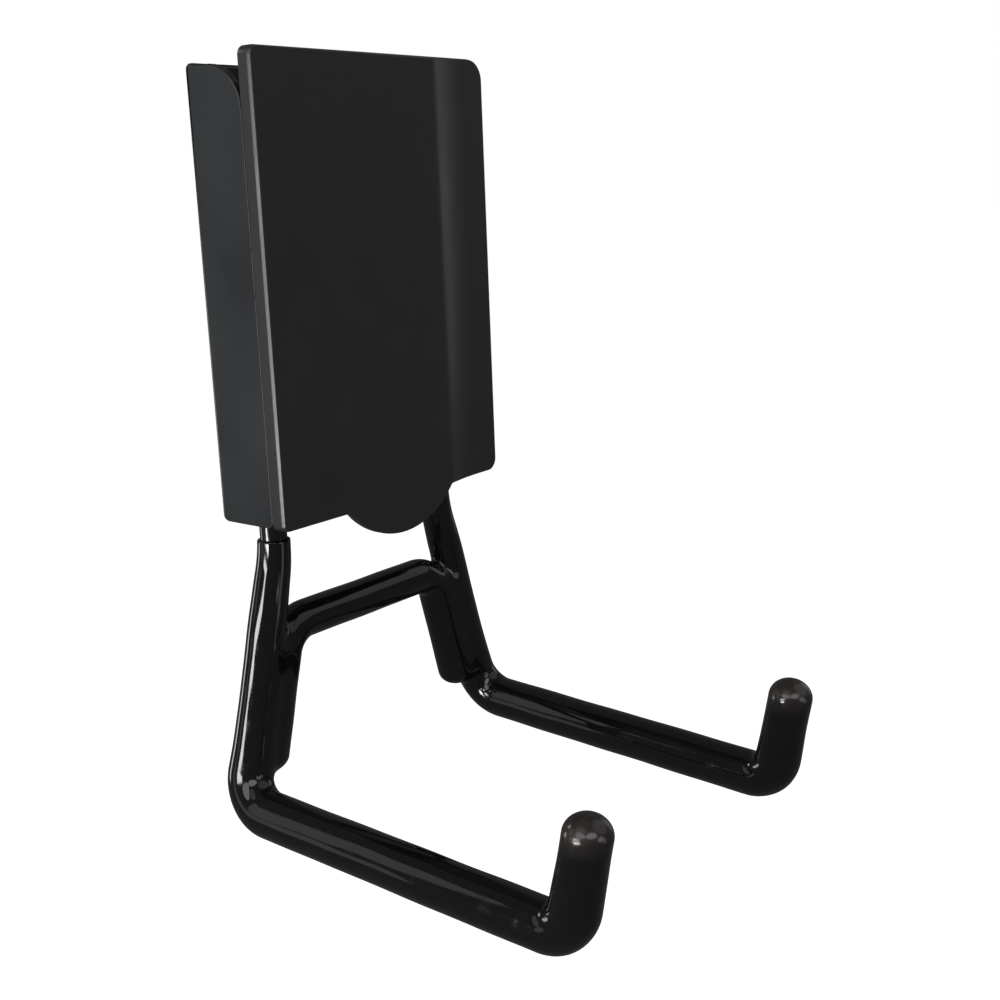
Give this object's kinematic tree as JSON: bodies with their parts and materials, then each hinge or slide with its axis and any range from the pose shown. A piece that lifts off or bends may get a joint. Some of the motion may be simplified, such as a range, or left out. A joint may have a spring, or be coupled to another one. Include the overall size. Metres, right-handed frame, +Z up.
{
  "type": "wall guitar hanger",
  "caption": "Wall hanger for a guitar: a screw-on channel bracket with a hinged snap cover and a dipped rod frame whose two padded arms end in upturned tips.",
  "frame": {"origin": "middle of the bracket's wall face, at half the height of the bracket and half its width", "axes": "+Z up the wall, +Y into the wall, -Y out along the arms, +X to the right as seen from in front"},
  "size_m": [0.0776, 0.0848, 0.1403],
  "materials": {
    "powder_coated_steel": "satin black powder coat",
    "moulded_plastic": "fine satin moulded texture",
    "dipped_pvc": "smooth glossy soft PVC dip"
  },
  "bodies": {
    "bracket": {"wall_bracket": "powder_coated_steel", "hinge_rod": "powder_coated_steel", "brace_rod": "powder_coated_steel", "left_rod": "powder_coated_steel", "right_rod": "powder_coated_steel", "left_arm_coat": "dipped_pvc", "right_arm_coat": "dipped_pvc", "brace_coat": "dipped_pvc"},
    "cover": {"front_cover": "moulded_plastic"}
  },
  "joints": [
    {"name": "cover_hinge", "type": "hinge", "parent": "bracket", "child": "cover", "pos_m": [0, -0.0054, 0.0312], "axis": [-1, 0, 0], "range_deg": [0, 60]}
  ]
}
